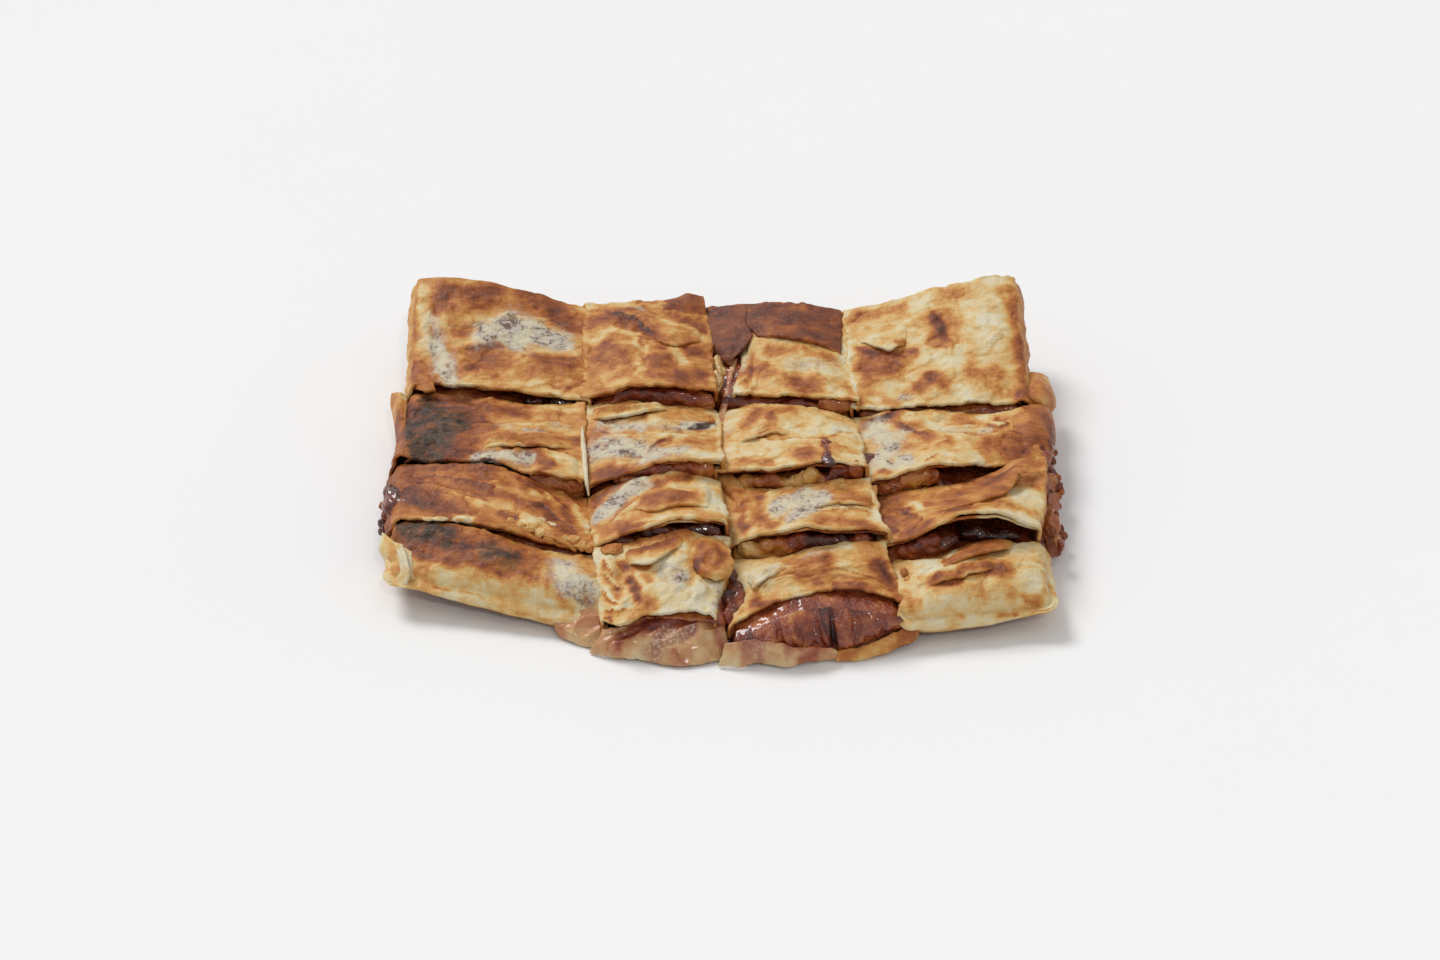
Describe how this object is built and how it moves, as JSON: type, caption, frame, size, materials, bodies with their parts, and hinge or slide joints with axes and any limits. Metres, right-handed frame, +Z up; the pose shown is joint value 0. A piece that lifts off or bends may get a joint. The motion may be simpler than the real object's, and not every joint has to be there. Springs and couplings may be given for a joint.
{
  "type": "murtabak",
  "caption": "Folded, pan-fried flatbread with a chocolate and banana filling, cut into pieces that lie together as one flatbread with its corners curled up.",
  "frame": {"origin": "centre of the flatbread's outline, on the surface that it lies on", "axes": "+X to the right along the longest side, +Y towards the back row with the high corners, +Z up"},
  "size_m": [0.216, 0.1868, 0.0298],
  "materials": {
    "dough": "satin",
    "filling": "gloss",
    "banana": "satin"
  },
  "bodies": {
    "root": {"banana_a2": "banana", "banana_a3": "banana", "banana_b3": "banana", "banana_b4": "banana", "banana_c1": "banana", "banana_c3": "banana", "base_b2": "dough", "base_b3": "dough", "base_c2": "dough", "base_c3": "dough", "base_c4": "dough", "base_d3": "dough", "filling_a1": "filling", "filling_a2": "filling", "filling_a3": "filling", "filling_a4": "filling", "filling_b1": "filling", "filling_b2": "filling", "filling_b3": "filling", "filling_b4": "filling", "filling_c1": "filling", "filling_c2": "filling", "filling_c3": "filling", "filling_c4": "filling", "filling_d1": "filling", "filling_d2": "filling", "filling_d3": "filling", "filling_d4": "filling", "skin_a1": "dough", "skin_a2": "dough", "skin_a3": "dough", "skin_a4": "dough", "skin_b1": "dough", "skin_b2": "dough", "skin_b3": "dough", "skin_b4": "dough", "skin_c1": "dough", "skin_c2": "dough", "skin_c3": "dough", "skin_c4": "dough", "skin_d1": "dough", "skin_d2": "dough", "skin_d3": "dough", "skin_d4": "dough"}
  },
  "joints": []
}
